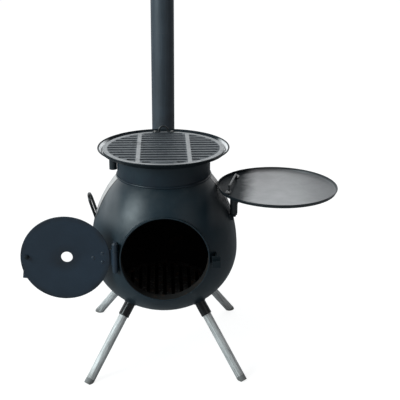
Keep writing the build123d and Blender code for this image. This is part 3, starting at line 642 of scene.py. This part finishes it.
def bead(name, points, radius, closed=True, normals=None):
    """Lumpy run of weld metal along a line of points."""
    count = len(points)
    verts, faces = [], []
    for i, point in enumerate(points):
        if closed:
            ahead = points[(i + 1) % count] - points[i - 1]
        else:
            ahead = points[min(i + 1, count - 1)] - points[max(i - 1, 0)]
        ahead.normalize()
        up = normals[i] if normals else skin_normal(point)
        across = ahead.cross(up).normalized()
        up = across.cross(ahead)
        ripple = 1 + 0.16 * math.sin(i * 2.1) + random.uniform(-0.08, 0.08)
        if not closed:
            ripple *= min(1.0, 0.25 + 0.5 * min(i, count - 1 - i))
        for k in range(BEAD_SIDES):
            turn = 2 * math.pi * k / BEAD_SIDES
            offset = across * math.cos(turn) * 1.15 + up * math.sin(turn) * 0.75
            verts.append(point + offset * radius * ripple)
    for i in range(count if closed else count - 1):
        j = (i + 1) % count
        for k in range(BEAD_SIDES):
            n = (k + 1) % BEAD_SIDES
            faces.append((i * BEAD_SIDES + k, j * BEAD_SIDES + k, j * BEAD_SIDES + n, i * BEAD_SIDES + n))
    if not closed:
        faces.append(tuple(reversed(range(BEAD_SIDES))))
        faces.append(tuple(range((count - 1) * BEAD_SIDES, count * BEAD_SIDES)))
    mesh = bpy.data.meshes.new(name)
    mesh.from_pydata(verts, [], faces)
    mesh.materials.append(FINISH["body"])
    for face in mesh.polygons:
        face.use_smooth = True
    made = bpy.data.objects.new(name, mesh)
    bpy.context.scene.collection.objects.link(made)
    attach(made, "fire_body")


def ring_points(centre, axis, radius, steps):
    """Points round a circle, with its outward directions."""
    first = axis.orthogonal().normalized()
    second = axis.cross(first)
    spokes = []
    for i in range(steps):
        turn = 2 * math.pi * i / steps
        spokes.append(first * math.cos(turn) + second * math.sin(turn))
    return [centre + spoke * radius for spoke in spokes], spokes


def bead_on_skin(name, foot, axis, radius, weld, steps=RIM_STEPS):
    """Weld where a round bar or tube along an axis meets the skin."""
    rim, _ = ring_points(foot, axis, radius, steps)
    bead(name, [skin_hit(p + axis * RIM_SEARCH, p - axis * RIM_SEARCH) for p in rim], weld)


def upright_bead(name, x, y, low, high, toward):
    """Short upright weld where a flat plate meets the skin."""
    points = []
    for i in range(UPRIGHT_STEPS):
        z = low + (high - low) * i / (UPRIGHT_STEPS - 1)
        start = Vector((x, y, z))
        points.append(skin_hit(start + toward * UPRIGHT_SEARCH, start - toward * UPRIGHT_SEARCH))
    bead(name, points, UPRIGHT_WELD, closed=False)


def leg_axis(corner):
    """Direction down one leg."""
    side, end = CORNERS[corner]
    spread = math.sin(LEG_TILT) / math.sqrt(2)
    return Vector((side * spread, end * spread, -math.cos(LEG_TILT)))


def add_welds():
    """Every weld that shows on the outside of the fire body."""
    for corner in CORNERS:
        axis = leg_axis(corner)
        foot = LEG_HUB + axis * LEG_REACH
        bead_on_skin(f"weld_socket_{corner}", foot, axis, SOCKET_RADIUS, SOCKET_WELD)
    for name, side in (("left", -1), ("right", 1)):
        lean = Vector((side * math.sin(LOOP_TILT), 0, math.cos(LOOP_TILT)))
        rise = (LOOP_FOOT_Z - EQUATOR_Z) / UPPER_HEIGHT
        foot_x = side * BODY_RADIUS * math.sqrt(1 - rise ** 2)
        for end_name, y in (("front", -LOOP_HALF), ("back", LOOP_HALF)):
            foot = Vector((foot_x, y, LOOP_FOOT_Z))
            rim, _ = ring_points(foot, lean, LOOP_ROD, LOOP_STEPS)
            outward = Vector((side * LOOP_SEARCH[0], 0, LOOP_SEARCH[1]))
            spots = [skin_hit(p + outward, p - outward) for p in rim]
            bead(f"weld_loop_{name}_{end_name}", spots, LOOP_WELD)
    flue = Vector((0, math.cos(FLUE_RISE), math.sin(FLUE_RISE)))
    exit_y = BODY_RADIUS * math.sqrt(1 - ((FLUE_EXIT_Z - EQUATOR_Z) / UPPER_HEIGHT) ** 2)
    exit_point = Vector((0, exit_y, FLUE_EXIT_Z))
    flange_radius = FLUE_RADIUS + FLUE_FLANGE_LIP
    bead_on_skin("weld_flue_body", exit_point, flue, flange_radius, FLUE_BODY_WELD, FLUE_STEPS)
    flange_top = exit_point + flue * FLUE_FLANGE_RISE
    rim, spokes = ring_points(flange_top, flue, FLUE_RADIUS + FLUE_PIPE_GAP, FLUE_STEPS)
    bead("weld_flue_pipe", rim, FLUE_PIPE_WELD, normals=spokes)
    right = Vector((1, 0, 0))
    for name, y in (("front", GUSSET_Y - GUSSET_HALF), ("back", GUSSET_Y + GUSSET_HALF)):
        upright_bead(f"weld_gusset_{name}", GUSSET_X, y, GUSSET_LOW_Z, GUSSET_HIGH_Z, right)
    front = Vector((0, -1, 0))
    for level, low, high in HINGE_LUG_SPANS:
        for name, x in (("inner", HINGE_X + HINGE_LUG_HALF), ("outer", HINGE_X - HINGE_LUG_HALF)):
            bottom, top = OPENING_Z + low, OPENING_Z + high
            upright_bead(f"weld_hinge_{level}_{name}", x, HINGE_SEARCH_Y, bottom, top, front)


# ---- Studio ----

FLOOR_HALF = 14.0

def add_world():
    """White to the camera; bright backdrop behind the object and a dim bluish room in front."""
    world = bpy.data.worlds.new("studio")
    world.use_nodes = True
    tree = Tree(world.node_tree)
    direction = tree.node("ShaderNodeTexCoord").outputs["Generated"]
    x, y, z = tree.parts(direction)
    behind = tree.times(tree.ramp(y, -0.05, 0.75, 0.0, 1.15), tree.ramp(x, 0.35, 0.85, 1.0, 0.35))
    left = tree.ramp(x, 0.45, -0.75, 0.02, 0.19)
    above = tree.ramp(z, 0.25, 0.95, 0.0, 0.22)
    level = tree.math("ADD", tree.math("ADD", behind, left), above)
    room = tree.node("ShaderNodeBackground")
    room.inputs["Color"].default_value = colour(0.95, 0.98, 1.0)
    tree.put(level, room.inputs["Strength"])
    seen = tree.node("ShaderNodeBackground")
    seen.inputs["Color"].default_value = colour(1.0, 1.0, 1.0)
    seen.inputs["Strength"].default_value = 1.1
    choose = tree.node("ShaderNodeMixShader")
    tree.put(tree.node("ShaderNodeLightPath").outputs["Is Camera Ray"], choose.inputs["Fac"])
    tree.put(room.outputs[0], choose.inputs[1])
    tree.put(seen.outputs[0], choose.inputs[2])
    output = tree.node("ShaderNodeOutputWorld")
    tree.put(choose.outputs[0], output.inputs["Surface"])
    bpy.context.scene.world = world


def add_softbox(name, place, target, size, power, tint=(1.0, 1.0, 1.0)):
    """Square soft light aimed at a point."""
    data = bpy.data.lights.new(name, "AREA")
    data.shape = "SQUARE"
    data.size = size
    data.energy = power
    data.color = tint
    lamp = bpy.data.objects.new(name, data)
    lamp.location = place
    lamp.rotation_euler = (Vector(target) - Vector(place)).to_track_quat("-Z", "Y").to_euler()
    bpy.context.scene.collection.objects.link(lamp)


def add_floor():
    """Pale studio floor; it looks white to the camera and throws little light back up."""
    mesh = bpy.data.meshes.new("studio_floor")
    half = FLOOR_HALF
    corners = [(-half, -half, 0), (half, -half, 0), (half, half, 0), (-half, half, 0)]
    mesh.from_pydata(corners, [], [(0, 1, 2, 3)])
    made = bpy.data.materials.new("studio_floor")
    made.use_nodes = True
    tree = Tree(made.node_tree)
    seen = tree.node("ShaderNodeLightPath").outputs["Is Camera Ray"]
    pale = tree.node("ShaderNodeBsdfDiffuse")
    pale.inputs["Color"].default_value = colour(0.30, 0.30, 0.30)
    glow = tree.node("ShaderNodeEmission")
    glow.inputs["Strength"].default_value = 0.86
    both = tree.node("ShaderNodeAddShader")
    tree.put(pale.outputs[0], both.inputs[0])
    tree.put(glow.outputs[0], both.inputs[1])
    dim = tree.node("ShaderNodeBsdfDiffuse")
    dim.inputs["Color"].default_value = colour(0.34, 0.35, 0.36)
    choose = tree.node("ShaderNodeMixShader")
    tree.put(seen, choose.inputs["Fac"])
    tree.put(dim.outputs[0], choose.inputs[1])
    tree.put(both.outputs[0], choose.inputs[2])
    output = tree.node("ShaderNodeOutputMaterial")
    tree.put(choose.outputs[0], output.inputs["Surface"])
    mesh.materials.append(made)
    floor = bpy.data.objects.new("studio_floor", mesh)
    bpy.context.scene.collection.objects.link(floor)


# ---- Assign ----

SHARP_ANGLE = math.radians(28)

def paint(node, made):
    """Give a carried-over node its material and smooth faces between hard edges."""
    obj = NODES[node]
    obj.data.materials.clear()
    obj.data.materials.append(made)
    for face in obj.data.polygons:
        face.use_smooth = True
    obj.data.set_sharp_from_angle(angle=SHARP_ANGLE)


BODY_PAINT = (0.0115, 0.0245, 0.034)
DOOR_PAINT = (0.0165, 0.0295, 0.047)
PAN_DARK = (0.014, 0.019, 0.023)
PLATE_MIDDLE = (PLATE_LOW + PLATE_HIGH) / 2
FINISH = {
    # The two body coats differ in the strength of the painted sheen on the shoulders.
    "body": fire_body_coat("body_coat", BODY_PAINT, painted_sheen=0.10),
    "rear": fire_body_coat("rear_coat", BODY_PAINT, painted_sheen=0.9),
    "neck": neck_coat("neck_coat", (0.010, 0.022, 0.031)),
    "door": door_coat("door_coat", DOOR_PAINT),
    "fitting": powder_coat("fitting_coat", DOOR_PAINT, 0.34, 0.7),
    "black": gloss_black("gloss_black"),
    "tray": tray_enamel("tray_enamel", PAN_DARK),
    "plate": plate_enamel("plate_enamel", PAN_DARK, (0.40, 0.395, 0.40), tuple(PLATE_MIDDLE)),
    "pan_outside": powder_coat("pan_outside", PAN_DARK, 0.34, 0.5),
    "grill": cast_iron_grill("grill_iron"),
    "chimney": chimney_coat("chimney_coat", (0.044, 0.056, 0.070)),
    "soot": sooty_steel("sooty_steel"),
    "rubber": rubber("foot_rubber"),
    "fastener": bright_steel("fastener_steel", (0.42, 0.42, 0.41), 0.34),
    "keeper": powder_coat("keeper_coat", (0.007, 0.013, 0.017), 0.42, 0.4, specular=0.3),
    "handle": powder_coat("handle_coat", (0.020, 0.022, 0.024), 0.28, 0.9),
}
NODE_FINISH = {
    "front_shell": "body", "rear_shell": "rear", "opening_ring": "body", "neck_collar": "neck",
    "hinge_knuckles": "fitting", "latch_keeper": "keeper", "side_plate_peg": "keeper",
    "flue_weld_flange": "chimney", "flue_elbow": "chimney",
    "door_disc": "door", "door_hinge_leaf": "fitting", "latch_lever": "fitting",
    "handle_loop_left": "black", "handle_loop_right": "black",
    "drip_tray": "tray", "tray_locating_ring": "pan_outside", "tray_socket_tube": "pan_outside",
    "side_plate": "plate", "side_plate_socket": "pan_outside", "side_plate_handle": "handle",
    "grill_lifting_loop": "handle", "grill_plate": "grill",
    "hinge_pin": "fitting", "door_rivets": "fitting", "latch_bolt": "keeper", "latch_nut": "keeper",
    "grill_loop_rivets": "fastener", "side_plate_rivets": "fastener",
    "chimney_lower": "chimney", "chimney_middle": "chimney", "chimney_upper": "chimney",
    "fire_grate": "soot", "grate_lugs": "soot",
}
for corner in CORNERS:
    NODE_FINISH[f"leg_socket_{corner}"] = "black"
    NODE_FINISH[f"foot_plug_{corner}"] = "rubber"
    FINISH[f"leg_{corner}"] = zinc_tube(f"leg_zinc_{corner}", leg_axis(corner))
    NODE_FINISH[f"leg_tube_{corner}"] = f"leg_{corner}"
for node, finish in NODE_FINISH.items():
    paint(node, FINISH[finish])

add_welds()
add_camera()
add_world()
add_floor()
add_softbox("key", (-2.02, -1.10, 1.50), (0, 0, 0.35), 1.2, 46, (0.84, 0.97, 1.0))
add_softbox("fill", (1.8, -2.2, 1.6), (0, 0, 0.3), 1.6, 4)

bpy.context.scene.view_settings.view_transform = "Standard"
